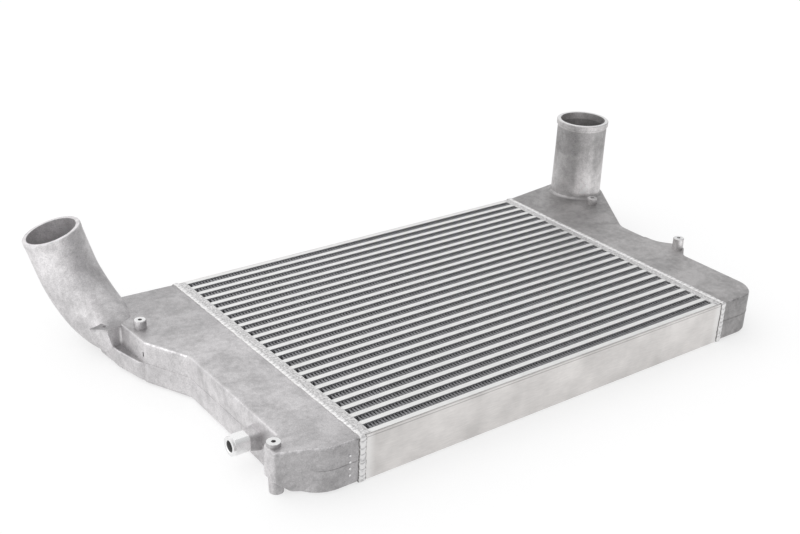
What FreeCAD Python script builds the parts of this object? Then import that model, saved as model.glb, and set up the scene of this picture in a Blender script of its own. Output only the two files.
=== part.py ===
"""Air-to-air intercooler: a bar-and-plate core between two cast end tanks with hose pipes.

Frame, in millimetres: +X along the charge-air passages, from the tank with the bent pipe to the tank
with the straight one, +Y from the front side plate to the rear one, +Z through the core's thickness,
up. The origin is the middle of the core's underside.
"""
import FreeCAD, Part
import math
import os

from FreeCAD import Vector

# Core: rows of air fins between flat charge-air passages, all brazed into one block
row_count = 24
fin_height = 9.4
fin_row_length = 542.0
fin_recess = 1.2
fin_foil = 0.6
folds_per_row = 60
sheet_thickness = 0.6
passage_height = 6.4
charge_bar_depth = 6.0
closing_bar_width = 12.5
side_plate_thickness = 2.6
side_plate_step = 0.8
core_thickness = 55.5
turbulator_foil = 0.35
turbulator_folds = 14

# End tanks: castings as thick as the core, butted against its ends
tank_wall = 5.0
tank_reach = 72.0
right_tank_reach = 73.5
right_corner_radius = 34.0
left_corner_radius = 44.0
top_edge_radius = 3.0
bottom_edge_radius = 4.5
parting_height = 27.0
parting_flash = 0.35
parting_flash_height = 1.0
weld_width = 8.0
weld_crown = 1.5
weld_strips = 6

# Left tank: the wall steps out towards the bent pipe, distances taken from the core's end and rear
left_step_start = 178.5
left_step_end = 119.0
left_step_reach = 100.5
left_step_inner_radius = 7.0
left_step_outer_radius = 12.0
left_rib_setback = 60.0
left_rib_reach = 103.5
left_rib_radius = 7.0
left_recess_setback = 52.0
left_recess_reach = 86.0
left_recess_radius = 6.0
left_rear_slant = 3.7

# Bent pipe: root that rises out of the casting, one bend upwards, straight hose end
bent_bore_radius = 31.6
bent_wall = 3.5
bent_root_reach = 97.6
bent_root_setback = 8.8
bent_root_height = 36.0
bent_root_yaw = 8.1
bent_bend_radius = 65.8
bent_bend_angle = 82.0
bent_bend_roll = 14.8
bent_hose_length = 48.7
bent_root_growth = 1.3
root_start_angle = 60.0
root_last_angle = 20.0
root_sections = 5
root_narrowing = 1.4
root_end_setback = 62.0
root_end_inner_reach = 88.0
root_end_outer_reach = 121.5
root_end_foot_reach = 109.0
root_end_foot = 3.0
root_end_top = 51.5
root_end_radius = 4.0
root_end_blend = 3.5

# Straight pipe: upright on the rear corner of the right tank
straight_bore_radius = 33.7
straight_wall = 3.7
straight_reach = 115.2
straight_setback = 27.0
straight_top_height = 173.0
straight_hose_length = 42.0
straight_root_growth = 1.5
straight_margin = 4.6
straight_flare = 4.0

# Raised hose collar round both rims
collar_height = 8.0
collar_proud = 1.7
collar_chamfer = 0.8

# Right tank: the wall slants out to the straight pipe
right_slant_start = 168.0
right_slant_radius = 30.0

# Bosses and posts, each with a blind tapped hole for an M6 screw
boss_radius = 7.5
boss_chamfer = 0.8
screw_hole_radius = 2.5
screw_hole_depth = 14.0
left_boss_reach = 88.0
left_boss_setback = 84.0
left_boss_height = 10.5
right_boss_reach = 98.5
right_boss_setback = 81.0
right_boss_height = 9.5
left_post_reach = 84.3
left_post_from_front = 36.8
left_post_height = 4.5
left_post_foot = 1.2
left_post_foot_growth = 0.4
left_post_lean = 3.2
left_lug_margin = 0.5
left_lug_flank = 15.0
left_lug_front = 14.0
left_lug_blend = 38.0
left_lug_underside = 3.0
left_lug_full_height = 20.0
left_lug_lower_length = 52.0
left_lug_lower_reach = 74.0
left_lug_root_radius = 2.0
left_lug_corner_radius = 6.0
left_lug_front_radius = 25.0
right_post_reach = 84.0
right_post_from_front = 153.0
right_post_height = 15.5
right_lug_margin = 0.5
right_lug_half_width = 10.5
right_lug_rear_length = 42.0
right_lug_rear_bulge = 1.5
right_lug_front_length = 20.0
right_lug_front_radius = 6.0
right_lug_tip_radius = 7.0
right_lug_curve_radius = 30.0
right_lug_end_radius = 10.0

# Gusset on the root of the bent pipe, and the thicker lower half of the casting below it
gusset_thickness = 2.5
gusset_drop = 2.0
gusset_reach = 141.0
gusset_setback = 64.0
gusset_length = 42.0
gusset_front_reach = 124.0
gusset_front_radius = 5.0
gusset_tip_radius = 1.5
gusset_tip_rise = 11.0
gusset_tip_width = 3.0
gusset_tip_taper = 14.0
gusset_dimple_reach = 121.0
gusset_dimple_setback = 57.5
gusset_dimple_radius = 2.8
gusset_dimple_depth = 1.0
shelf_top = 27.0
shelf_start_proud = 3.0
shelf_proud = 11.0
shelf_front_setback = 70.0
shelf_bend_setback = 59.0
shelf_rear_proud = 14.5
shelf_rear_setback = 24.0
shelf_radius = 12.0
shelf_edge_radius = 2.0
shelf_bottom_radius = 9.0

# Machined port on a cast pad in the left tank's outer wall
port_from_front = 92.8
port_height = 29.5
pad_proud = 12.5
pad_width = 19.0
pad_height = 20.5
pad_corner_radius = 6.0
pad_root_growth = 3.0
port_length = 20.0
port_radius = 11.8
port_across_flats = 20.0
port_collar_length = 3.0
port_shank_radius = 8.5
port_shank_clearance = 0.05
port_bore_radius = 6.25
port_mouth_chamfer = 0.9

# Small cast marks on the left tank's front face
pip_count = 4
pip_radius = 1.3
pip_proud = 0.5
pip_spacing = 8.0
pip_from_seam = 15.5
pip_first_height = 14.0

# Slot cored into the left tank's outer wall
slot_length = 6.0
slot_width = 2.6
slot_depth = 3.0
slot_height = 38.0
slot_setback = 116.5

# Worked out from the sizes above
row_pitch = fin_height + 2 * sheet_thickness + passage_height
passage_count = row_count + 1
bar_block_half_width = (row_count * row_pitch + passage_height) / 2
core_half_width = bar_block_half_width + side_plate_thickness
core_half_length = fin_row_length / 2 + closing_bar_width
top = core_thickness
overlap = 20.0
same = 0.001
corner_share = 0.48
ring_corner_half_angle = 30
up = Vector(0, 0, 1)


def at(reach, y, z=0.0, side=1):
    """Point a given reach outside the core's end; side is -1 on the left and 1 on the right."""
    return Vector(side * (core_half_length + reach), y, z)


def block(low, high):
    return Part.makeBox(high.x - low.x, high.y - low.y, high.z - low.z, low)


def rounded_outline(corners):
    """Closed wire through (point, radius) corners, each rounded by a tangent arc."""
    edges = []
    starts = []
    ends = []
    middles = []
    count = len(corners)
    for index, (point, radius) in enumerate(corners):
        before = corners[index - 1][0] - point
        after = corners[(index + 1) % count][0] - point
        half_turn = before.getAngle(after) / 2
        longest = corner_share * min(before.Length, after.Length)
        length = min(radius / math.tan(half_turn), longest)
        fitted = length * math.tan(half_turn)
        before.normalize()
        after.normalize()
        bisector = before + after
        if radius > 0:
            bisector.normalize()
            middles.append(point + bisector * (fitted / math.sin(half_turn) - fitted))
        else:
            middles.append(None)
        starts.append(point + before * length)
        ends.append(point + after * length)
    for index in range(count):
        if middles[index] is not None:
            edges.append(Part.Arc(starts[index], middles[index], ends[index]).toShape())
        following = starts[(index + 1) % count]
        edges.append(Part.LineSegment(ends[index], following).toShape())
    return Part.Wire(edges)


def prism(wire, bottom, height):
    face = Part.Face(wire)
    face.translate(up * (bottom - wire.BoundBox.ZMin))
    return face.extrude(up * height)


def outline_edges(solid, height):
    """Edges of a tank prism's rim at one height, apart from the one across its open end."""
    chosen = []
    for edge in solid.Edges:
        box = edge.BoundBox
        level = abs(box.ZMin - height) < same and abs(box.ZMax - height) < same
        across = box.XLength < same and abs(abs(box.XMin) - (core_half_length - overlap)) < same
        if level and not across:
            chosen.append(edge)
    return chosen


def tank_body(wire):
    """Rounded prism of the casting with the thin flash of its mould line, running on past its open end."""
    body = prism(wire, 0, top)
    body = body.makeFillet(top_edge_radius, outline_edges(body, top))
    body = body.makeFillet(bottom_edge_radius, outline_edges(body, 0))
    flash = prism(wire.makeOffset2D(parting_flash), parting_height, parting_flash_height)
    return body.fuse(flash)


def tank_cavity(wire):
    return prism(wire.makeOffset2D(-tank_wall), tank_wall, top - 2 * tank_wall)


def core_side_box():
    """Everything between the two planes where the tanks meet the core."""
    reach = core_half_width * 3
    return block(Vector(-core_half_length, -reach, -reach), Vector(core_half_length, reach, reach))


def boss(centre, base, height):
    """Round boss with a chamfered top, from one height up to another."""
    body = Part.makeCylinder(boss_radius, height - base, Vector(centre.x, centre.y, base))
    rim = [edge for edge in body.Edges if abs(edge.BoundBox.ZMin - height) < same and edge.Closed]
    return body.makeChamfer(boss_chamfer, rim)


def screw_hole(centre, height):
    return Part.makeCylinder(screw_hole_radius, screw_hole_depth, Vector(centre.x, centre.y, height), -up)


def hose_collar(outer, centre, axis):
    """Raised band at a pipe's rim; centre is the middle of the rim's end."""
    base = centre - axis * collar_height
    collar = Part.makeCylinder(outer + collar_proud, collar_height, base, axis)
    return collar.makeChamfer(collar_chamfer, [edge for edge in collar.Edges if edge.Closed])


def core_rows():
    """Middle height in Y of each row of air fins, front to rear."""
    first = -(row_count - 1) / 2 * row_pitch
    return [first + row_pitch * index for index in range(row_count)]


def core_passages():
    """Middle in Y of each charge-air passage, front to rear."""
    first = -row_count / 2 * row_pitch
    return [first + row_pitch * index for index in range(passage_count)]


def folded_foil(length, height, folds, foil):
    """Zigzag face in XY of one foil strip, centred on the origin, its crests at half the height."""
    step = length / folds
    swing = (height - foil) / 2
    crest_line = []
    for index in range(folds + 1):
        crest_line.append((index * step - length / 2, swing if index % 2 else -swing))
    upper = [Vector(x, y + foil / 2, 0) for x, y in crest_line]
    lower = [Vector(x, y - foil / 2, 0) for x, y in reversed(crest_line)]
    return Part.Face(Part.makePolygon(upper + lower + upper[:1]))


def fin_row(middle):
    slope = math.hypot(fin_height, fin_row_length / folds_per_row) / (fin_row_length / folds_per_row)
    face = folded_foil(fin_row_length, fin_height, folds_per_row, fin_foil * slope)
    face.translate(Vector(0, middle, fin_recess))
    return face.extrude(up * (core_thickness - 2 * fin_recess))


def turbulator(middle):
    """Folded strip inside a passage, its channels along X."""
    depth = core_thickness - 2 * charge_bar_depth
    slope = math.hypot(passage_height, depth / turbulator_folds) / (depth / turbulator_folds)
    face = folded_foil(depth, passage_height, turbulator_folds, turbulator_foil * slope)
    face.rotate(Vector(0, 0, 0), Vector(0, 1, 0), -90)
    face.translate(Vector(-core_half_length, middle, core_thickness / 2))
    return face.extrude(Vector(2 * core_half_length, 0, 0))


def charge_bars():
    """Bars that close each passage along its top and bottom."""
    bars = []
    for middle in core_passages():
        for bottom in (0, core_thickness - charge_bar_depth):
            low = Vector(-core_half_length, middle - passage_height / 2, bottom)
            high = Vector(core_half_length, middle + passage_height / 2, bottom + charge_bar_depth)
            bars.append(block(low, high))
    return Part.makeCompound(bars)


def closing_bars():
    """Bars that close each fin row at its two ends."""
    bars = []
    for middle in core_rows():
        for start in (-core_half_length, fin_row_length / 2):
            low = Vector(start, middle - fin_height / 2, 0)
            high = Vector(start + closing_bar_width, middle + fin_height / 2, core_thickness)
            bars.append(block(low, high))
    return Part.makeCompound(bars)


def parting_sheets():
    """Thin sheets between every fin row and the passages beside it."""
    sheets = []
    for middle in core_rows():
        for start in (middle - fin_height / 2 - sheet_thickness, middle + fin_height / 2):
            low = Vector(-core_half_length, start, 0)
            high = Vector(core_half_length, start + sheet_thickness, core_thickness)
            sheets.append(block(low, high))
    return Part.makeCompound(sheets)


def side_plate(side):
    inner = side * bar_block_half_width
    outer = side * core_half_width
    low = Vector(-core_half_length, min(inner, outer), side_plate_step)
    high = Vector(core_half_length, max(inner, outer), core_thickness - side_plate_step)
    return block(low, high)


def left_outline():
    rear = core_half_width
    return rounded_outline([
        (at(-overlap, -core_half_width, 0, -1), 0),
        (at(-overlap, rear, 0, -1), 0),
        (at(0, rear, 0, -1), 0),
        (at(left_recess_reach, rear + left_rear_slant, 0, -1), left_rib_radius),
        (at(left_recess_reach, rear - left_recess_setback, 0, -1), left_recess_radius),
        (at(left_rib_reach, rear - left_rib_setback, 0, -1), left_rib_radius),
        (at(left_step_reach, rear - left_step_end, 0, -1), left_step_outer_radius),
        (at(tank_reach, rear - left_step_start, 0, -1), left_step_inner_radius),
        (at(tank_reach, -core_half_width, 0, -1), left_corner_radius),
    ])


def bend_at(degrees):
    """Point and direction of the bent pipe's middle line, so many degrees round its bend."""
    root = at(bent_root_reach, core_half_width - bent_root_setback, bent_root_height, -1)
    yaw = math.radians(bent_root_yaw)
    heading = Vector(-math.sin(yaw), math.cos(yaw), 0)
    roll = math.radians(bent_bend_roll)
    inward = up * math.cos(roll) - heading.cross(up) * math.sin(roll)
    turned = math.radians(degrees)
    from_centre = heading * math.sin(turned) - inward * math.cos(turned)
    point = root + (inward + from_centre) * bent_bend_radius
    return point, heading * math.cos(turned) + inward * math.sin(turned)


def eight_arcs(centre, axis, radius):
    """Circle as eight arcs, one for each corner and side of the four-sided foot it is lofted to."""
    upright = axis.cross(Vector(-1, 0, 0)).normalize()
    across = upright.cross(axis)

    def rim(degrees):
        turned = math.radians(degrees)
        return centre + (across * math.cos(turned) + upright * math.sin(turned)) * radius

    arcs = []
    for corner in (-135, -45, 45, 135):
        first = corner - ring_corner_half_angle
        last = corner + ring_corner_half_angle
        arcs.append(Part.Arc(rim(first), rim(corner), rim(last)).toShape())
        arcs.append(Part.Arc(rim(last), rim(corner + 45), rim(first + 90)).toShape())
    return Part.Wire(arcs)


def bent_pipe(radius, skin):
    """Solid form that follows the bent pipe's path; skin is how far it lies inside the root's outside."""
    start, heading = bend_at(root_start_angle)
    bend_end, leave = bend_at(bent_bend_angle)
    turn = heading.cross(leave).normalize()
    centre = start + turn.cross(heading) * bent_bend_radius
    section = Part.Face(Part.Wire(Part.makeCircle(radius, start, heading)))
    bend = section.revolve(centre, turn, bent_bend_angle - root_start_angle)
    hose_end = Part.makeCylinder(radius, bent_hose_length, bend_end, leave)
    end = core_half_width - root_end_setback + skin
    foot = rounded_outline([
        (at(root_end_inner_reach + skin, end, root_end_foot + skin, -1), root_end_radius),
        (at(root_end_foot_reach - skin, end, root_end_foot + skin, -1), root_end_radius),
        (at(root_end_outer_reach - skin, end, root_end_top - skin, -1), root_end_radius),
        (at(root_end_inner_reach + skin, end, root_end_top - skin, -1), root_end_radius),
    ])
    rings = []
    for index in range(root_sections):
        share = index / (root_sections - 1)
        centre, heading = bend_at(root_start_angle + (root_last_angle - root_start_angle) * share)
        narrowing = root_narrowing * share * share
        rings.append(eight_arcs(centre - Vector(narrowing, 0, 0), heading, radius - narrowing))
    base = Part.makeLoft(rings + [foot], True, False)
    return bend.fuse([hose_end, base])


def left_pad():
    """Cast pad for the port, flared where it meets the wall."""
    middle_y = -core_half_width + port_from_front
    start = -(core_half_length + tank_reach - tank_wall)
    end = -(core_half_length + tank_reach + pad_proud)
    sections = []
    for x, growth in ((start, pad_root_growth), (end, 0.0)):
        half_width = pad_width / 2 + growth
        half_height = pad_height / 2 + growth
        points = [
            Vector(x, middle_y - half_width, port_height - half_height),
            Vector(x, middle_y + half_width, port_height - half_height),
            Vector(x, middle_y + half_width, port_height + half_height),
            Vector(x, middle_y - half_width, port_height + half_height),
        ]
        sections.append(rounded_outline([(point, pad_corner_radius) for point in points]))
    return Part.makeLoft(sections, True, True)


def left_post_head():
    return at(left_post_reach, -core_half_width + left_post_from_front, top + left_post_height, -1)


def left_post():
    """Post at the front corner, leaning a little inwards to its foot."""
    head = left_post_head()
    foot = Vector(head.x + left_post_lean, head.y, -left_post_foot)
    circles = [
        Part.Wire(Part.makeCircle(boss_radius + left_post_foot_growth, foot, up)),
        Part.Wire(Part.makeCircle(boss_radius, head, up)),
    ]
    return Part.makeLoft(circles, True, True)


def left_lug():
    """Corner lug that carries the post, drawn back to the wall below the post's middle."""
    head = left_post_head()
    reach = left_post_reach + boss_radius + left_lug_margin
    front = -core_half_width
    blend = tank_reach - left_lug_blend

    def section(outer, rear, flank, height):
        return rounded_outline([
            (at(blend, rear, height, -1), 0),
            (at(tank_reach, rear, height, -1), left_lug_root_radius),
            (at(outer, flank, height, -1), left_lug_corner_radius),
            (at(outer, head.y - left_lug_front, height, -1), left_lug_corner_radius),
            (at(blend, front, height, -1), left_lug_front_radius),
            (at(blend, front + tank_wall, height, -1), 0),
        ])

    flank = head.y + boss_radius + left_lug_margin
    full = section(reach, head.y + left_lug_flank, flank, left_lug_full_height)
    low = section(left_lug_lower_reach, head.y + left_lug_lower_length, flank, left_lug_underside)
    upper = prism(full, left_lug_full_height, top - left_lug_full_height)
    rim = [edge for edge in upper.Edges if abs(edge.BoundBox.ZMin - top) < same]
    return upper.makeFillet(top_edge_radius, rim).fuse(Part.makeLoft([low, full], True, True))


def left_gusset():
    """Flat web beside the bent pipe's root, a little below the tank's top."""
    front = core_half_width - gusset_setback
    tip_rear = front + gusset_tip_rise + gusset_tip_width
    web = rounded_outline([
        (at(tank_reach, front, 0, -1), 0),
        (at(gusset_front_reach, front, 0, -1), gusset_front_radius),
        (at(gusset_reach, front + gusset_tip_rise, 0, -1), gusset_tip_radius),
        (at(gusset_reach - gusset_tip_taper, tip_rear, 0, -1), gusset_tip_radius),
        (at(tank_reach, front + gusset_length, 0, -1), 0),
    ])
    plate = prism(web, top - gusset_drop - gusset_thickness, gusset_thickness)
    dimple = at(gusset_dimple_reach, core_half_width - gusset_dimple_setback, top - gusset_drop, -1)
    return plate.cut(Part.makeCylinder(gusset_dimple_radius, gusset_dimple_depth, dimple, -up))


def outer_wall_reach(setback):
    """Reach of the outer wall between its step and the bent pipe's root."""
    share = (left_step_end - setback) / (left_step_end - left_rib_setback)
    return left_step_reach + (left_rib_reach - left_step_reach) * share


def left_root_blend():
    """Concave blend in the corner between the outer wall and the end of the bent pipe's root."""
    face = core_half_width - root_end_setback
    wall = outer_wall_reach(root_end_setback + root_end_blend)
    diagonal = root_end_blend * (1 - math.sqrt(0.5))
    wall_point = at(wall, face - root_end_blend, 0, -1)
    face_point = at(wall + root_end_blend, face, 0, -1)
    inner = at(wall - root_end_blend, face + root_end_blend, 0, -1)
    profile = Part.Wire([
        Part.Arc(wall_point, at(wall + diagonal, face - diagonal, 0, -1), face_point).toShape(),
        Part.LineSegment(face_point, Vector(face_point.x, inner.y, 0)).toShape(),
        Part.LineSegment(Vector(face_point.x, inner.y, 0), inner).toShape(),
        Part.LineSegment(inner, Vector(inner.x, wall_point.y, 0)).toShape(),
        Part.LineSegment(Vector(inner.x, wall_point.y, 0), wall_point).toShape(),
    ])
    return prism(profile, shelf_top - shelf_edge_radius, top - gusset_drop - shelf_top)


def left_shelf():
    """Lower half of the casting where it stands proud of the wall, out to the bent pipe's root."""
    rear = core_half_width
    shelf = rounded_outline([
        (at(tank_reach, rear - left_step_end, 0, -1), 0),
        (at(left_step_reach + shelf_start_proud, rear - left_step_end, 0, -1), shelf_radius),
        (at(left_rib_reach + shelf_proud, rear - shelf_front_setback, 0, -1), shelf_radius),
        (at(left_rib_reach + shelf_proud, rear - shelf_bend_setback, 0, -1), left_rib_radius),
        (at(left_rib_reach + shelf_rear_proud, rear - shelf_rear_setback, 0, -1), left_rib_radius),
        (at(tank_reach, rear - shelf_rear_setback, 0, -1), 0),
    ])
    body = prism(shelf, 0, shelf_top)
    body = body.makeFillet(shelf_edge_radius, outline_edges(body, shelf_top))
    return body.makeFillet(shelf_bottom_radius, outline_edges(body, 0))


def left_slot():
    """Short upright slot in the outer wall beyond its step, cut square to that wall."""
    centre = at(outer_wall_reach(slot_setback), core_half_width - slot_setback, slot_height, -1)
    corner = Vector(-slot_depth, -slot_width / 2, -slot_length / 2)
    cutter = Part.makeBox(2 * slot_depth, slot_width, slot_length, corner)
    run = Vector(left_rib_reach - left_step_reach, left_step_end - left_rib_setback, 0)
    cutter.rotate(Vector(0, 0, 0), up, math.degrees(math.atan2(run.x, run.y)))
    cutter.translate(centre)
    return cutter


def front_pips():
    """Column of plain raised dots beside the weld on the front face."""
    pips = []
    for index in range(pip_count):
        centre = at(pip_from_seam, -core_half_width - pip_proud, pip_first_height + pip_spacing * index, -1)
        pips.append(Part.makeCylinder(pip_radius, 2 * pip_proud, centre, Vector(0, 1, 0)))
    return pips


def port_axis_point(reach):
    return at(reach, -core_half_width + port_from_front, port_height, -1)


def left_tank():
    wire = left_outline()
    outer_radius = bent_bore_radius + bent_wall
    bend_end, leave = bend_at(bent_bend_angle)
    post_head = left_post_head()
    boss_at = at(left_boss_reach, core_half_width - left_boss_setback, 0, -1)
    boss_top = top + left_boss_height
    body = tank_body(wire).fuse([
        bent_pipe(outer_radius + bent_root_growth, 0),
        hose_collar(outer_radius, bend_end + leave * bent_hose_length, leave),
        left_gusset(),
        left_shelf(),
        left_root_blend(),
        left_pad(),
        left_lug(),
        left_post(),
        boss(boss_at, top - top_edge_radius, boss_top),
    ] + front_pips())
    shank = Part.makeCylinder(
        port_shank_radius + port_shank_clearance, pad_proud + 2 * tank_wall,
        port_axis_point(tank_reach + pad_proud), Vector(1, 0, 0))
    body = body.cut([
        tank_cavity(wire),
        bent_pipe(bent_bore_radius, tank_wall),
        shank,
        screw_hole(post_head, post_head.z),
        screw_hole(boss_at, boss_top),
        left_slot(),
    ])
    return body.cut(core_side_box()).removeSplitter()


def right_outline():
    """Outline of the right tank, its last corner wrapped round the straight pipe's foot."""
    centre = at(straight_reach, core_half_width - straight_setback)
    radius = straight_bore_radius + straight_wall + straight_root_growth + straight_margin
    slant_from = at(right_tank_reach, core_half_width - right_slant_start)
    seam_rear = at(0, core_half_width)
    slant_run = tangent_direction(slant_from, centre, radius, -1)
    rear_run = tangent_direction(seam_rear, centre, radius, 1)
    spread = slant_run.x * rear_run.y - slant_run.y * rear_run.x
    between = seam_rear - slant_from
    along = (between.x * rear_run.y - between.y * rear_run.x) / spread
    corner = slant_from + slant_run * along
    return rounded_outline([
        (at(-overlap, -core_half_width), 0),
        (at(right_tank_reach, -core_half_width), right_corner_radius),
        (slant_from, right_slant_radius),
        (corner, radius),
        (seam_rear, 0),
        (at(-overlap, core_half_width), 0),
    ])


def tangent_direction(start, centre, radius, side):
    """Unit direction from a point that touches a circle; side picks which of its two sides."""
    to_centre = centre - start
    lean = math.asin(radius / to_centre.Length) * side
    bearing = math.atan2(to_centre.y, to_centre.x) + lean
    return Vector(math.cos(bearing), math.sin(bearing), 0)


def straight_pipe():
    """Middle of the upright pipe's foot, and its solid form with the hose collar."""
    outer = straight_bore_radius + straight_wall
    foot = at(straight_reach, core_half_width - straight_setback, tank_wall)
    rim = Vector(foot.x, foot.y, straight_top_height)
    taper_height = straight_top_height - straight_hose_length - foot.z
    taper = Part.makeCone(outer + straight_root_growth, outer, taper_height, foot)
    hose_end = Part.makeCylinder(outer, straight_hose_length, foot + up * taper_height)
    return foot, taper.fuse([hose_end, hose_collar(outer, rim, up)])


def straight_pipe_flare(wire):
    """Concave blend between the straight pipe's foot and the tank's top, kept inside the tank's edge."""
    foot = at(straight_reach, core_half_width - straight_setback, top)
    inner = straight_bore_radius + straight_wall
    outer = inner + straight_root_growth + straight_flare
    bend = Vector(outer - straight_flare * math.sqrt(0.5), 0, straight_flare * (1 - math.sqrt(0.5)))
    profile = Part.Wire([
        Part.LineSegment(Vector(inner, 0, -top_edge_radius), Vector(outer, 0, -top_edge_radius)).toShape(),
        Part.LineSegment(Vector(outer, 0, -top_edge_radius), Vector(outer, 0, 0)).toShape(),
        Part.Arc(Vector(outer, 0, 0), bend, Vector(outer - straight_flare, 0, straight_flare)).toShape(),
        Part.LineSegment(Vector(outer - straight_flare, 0, straight_flare),
                         Vector(inner, 0, straight_flare)).toShape(),
        Part.LineSegment(Vector(inner, 0, straight_flare), Vector(inner, 0, -top_edge_radius)).toShape(),
    ])
    ring = Part.Face(profile).revolve(Vector(0, 0, 0), up, 360)
    ring.translate(foot)
    inside = prism(wire.makeOffset2D(-top_edge_radius), top - tank_wall, straight_flare + tank_wall)
    return ring.common(inside)


def right_lug():
    """Middle of the right post's top, and the lug below it, drawn out of the wall in a long curve."""
    wall = right_tank_reach
    head = at(right_post_reach, -core_half_width + right_post_from_front, top + right_post_height)
    edge = right_post_reach + boss_radius + right_lug_margin
    half = right_lug_half_width
    outline = rounded_outline([
        (at(wall - tank_wall, head.y - half - right_lug_front_length), 0),
        (at(wall, head.y - half - right_lug_front_length / 2), right_lug_front_radius),
        (at(edge, head.y - half / 2), right_lug_tip_radius),
        (at(edge, head.y + half), right_lug_front_radius),
        (at(wall + right_lug_rear_bulge, head.y + half + right_lug_rear_length / 2),
         right_lug_curve_radius),
        (at(wall, head.y + half + right_lug_rear_length), right_lug_end_radius),
        (at(wall - tank_wall, head.y + half + right_lug_rear_length), 0),
    ])
    return head, prism(outline, bottom_edge_radius, top - bottom_edge_radius)


def right_tank():
    wire = right_outline()
    foot, pipe = straight_pipe()
    post_head, lug = right_lug()
    boss_at = at(right_boss_reach, core_half_width - right_boss_setback)
    boss_top = top + right_boss_height
    body = tank_body(wire).fuse([
        pipe,
        straight_pipe_flare(wire),
        lug,
        boss(post_head, bottom_edge_radius, post_head.z),
        boss(boss_at, top - top_edge_radius, boss_top),
    ])
    bore = Part.makeCylinder(straight_bore_radius, straight_top_height - tank_wall, foot)
    body = body.cut([
        tank_cavity(wire),
        bore,
        screw_hole(post_head, post_head.z),
        screw_hole(boss_at, boss_top),
    ])
    return body.cut(core_side_box()).removeSplitter()


def weld_bead(side, tank_wire):
    """Crowned bead over the joint between tank and core, all the way round."""
    rings = []
    for index in range(weld_strips + 1):
        across = index / weld_strips * 2 - 1
        proud = weld_crown * (1 - across * across)
        x = side * core_half_length + across * weld_width / 2
        points = [
            Vector(x, -core_half_width - proud, -proud),
            Vector(x, core_half_width + proud, -proud),
            Vector(x, core_half_width + proud, core_thickness + proud),
            Vector(x, -core_half_width - proud, core_thickness + proud),
        ]
        rings.append(Part.makePolygon(points + points[:1]))
    bead = Part.makeLoft(rings, True, True)
    bars = block(
        Vector(-core_half_length, -bar_block_half_width, 0),
        Vector(core_half_length, bar_block_half_width, core_thickness))
    return bead.cut([bars, side_plate(-1), side_plate(1), tank_body(tank_wire)])


def threaded_port():
    """Turned and milled fitting with two pairs of flats, its shank through the pad and the wall."""
    start = port_axis_point(tank_reach + pad_proud)
    outward = Vector(-1, 0, 0)
    barrel = Part.makeCylinder(port_radius, port_length, start, outward)
    half = port_across_flats / 2
    flats = block(
        Vector(start.x - port_length + port_collar_length, start.y - half, start.z - half),
        Vector(start.x, start.y + half, start.z + half))
    end = start + outward * (port_length - port_collar_length)
    collar = Part.makeCylinder(half + port_mouth_chamfer, port_collar_length, end, outward)
    shank = Part.makeCylinder(port_shank_radius, pad_proud + tank_wall, start, outward * -1)
    mouth = start + outward * port_length
    bore_length = port_length + pad_proud + tank_wall
    bore = Part.makeCylinder(port_bore_radius, bore_length, mouth, outward * -1)
    chamfer = Part.makeCone(
        port_bore_radius + port_mouth_chamfer, port_bore_radius, port_mouth_chamfer, mouth, outward * -1)
    return barrel.common(flats).fuse([collar, shank]).cut([bore, chamfer]).removeSplitter()


def save(name, shape):
    if not shape.isValid():
        raise ValueError(name + " is not a valid shape")
    shape.exportStep(os.path.join("parts", name + ".step"))
    print(name, "solids", len(shape.Solids), "volume", round(shape.Volume / 1000, 1), "cm3")


def main():
    os.makedirs("parts", exist_ok=True)
    save("left_tank", left_tank())
    save("right_tank", right_tank())
    save("threaded_port", threaded_port())
    save("left_weld_bead", weld_bead(-1, left_outline()))
    save("right_weld_bead", weld_bead(1, right_outline()))
    save("front_side_plate", side_plate(-1))
    save("rear_side_plate", side_plate(1))
    save("charge_bars", charge_bars())
    save("closing_bars", closing_bars())
    save("parting_sheets", parting_sheets())
    for number, middle in enumerate(core_rows(), 1):
        save("fin_row_%02d" % number, fin_row(middle))
    for number, middle in enumerate(core_passages(), 1):
        save("turbulator_%02d" % number, turbulator(middle))


main()
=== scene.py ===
import math

import bpy
from mathutils import Matrix, Vector


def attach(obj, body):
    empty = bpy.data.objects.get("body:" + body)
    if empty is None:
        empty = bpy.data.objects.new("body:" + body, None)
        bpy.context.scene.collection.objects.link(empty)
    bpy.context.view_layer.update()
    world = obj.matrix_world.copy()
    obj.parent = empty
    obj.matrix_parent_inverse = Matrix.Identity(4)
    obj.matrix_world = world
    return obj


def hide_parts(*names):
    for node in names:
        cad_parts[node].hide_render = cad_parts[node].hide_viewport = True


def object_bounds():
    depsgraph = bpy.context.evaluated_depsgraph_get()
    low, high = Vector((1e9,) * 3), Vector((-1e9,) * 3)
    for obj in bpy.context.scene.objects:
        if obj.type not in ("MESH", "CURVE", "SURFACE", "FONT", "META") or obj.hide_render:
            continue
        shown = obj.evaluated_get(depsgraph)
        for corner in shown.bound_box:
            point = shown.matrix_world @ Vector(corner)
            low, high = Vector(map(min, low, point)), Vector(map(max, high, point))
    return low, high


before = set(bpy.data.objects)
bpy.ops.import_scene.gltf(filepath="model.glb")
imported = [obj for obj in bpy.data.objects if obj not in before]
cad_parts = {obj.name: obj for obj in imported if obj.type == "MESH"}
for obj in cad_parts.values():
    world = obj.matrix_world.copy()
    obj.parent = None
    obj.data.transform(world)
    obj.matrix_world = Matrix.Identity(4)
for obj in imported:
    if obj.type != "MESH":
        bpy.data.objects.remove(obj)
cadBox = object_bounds()

mm = 0.001
photoWidth = 800                        # the photograph's frame, in pixels
fromSpan = ("From Min", "From Max")     # the two pairs of inputs of a Map Range node
toSpan = ("To Min", "To Max")
noiseSpan = (0.3, 0.7)                  # most of what a noise gives lies between these
bpy.context.scene.view_settings.view_transform = "Standard"

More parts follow.
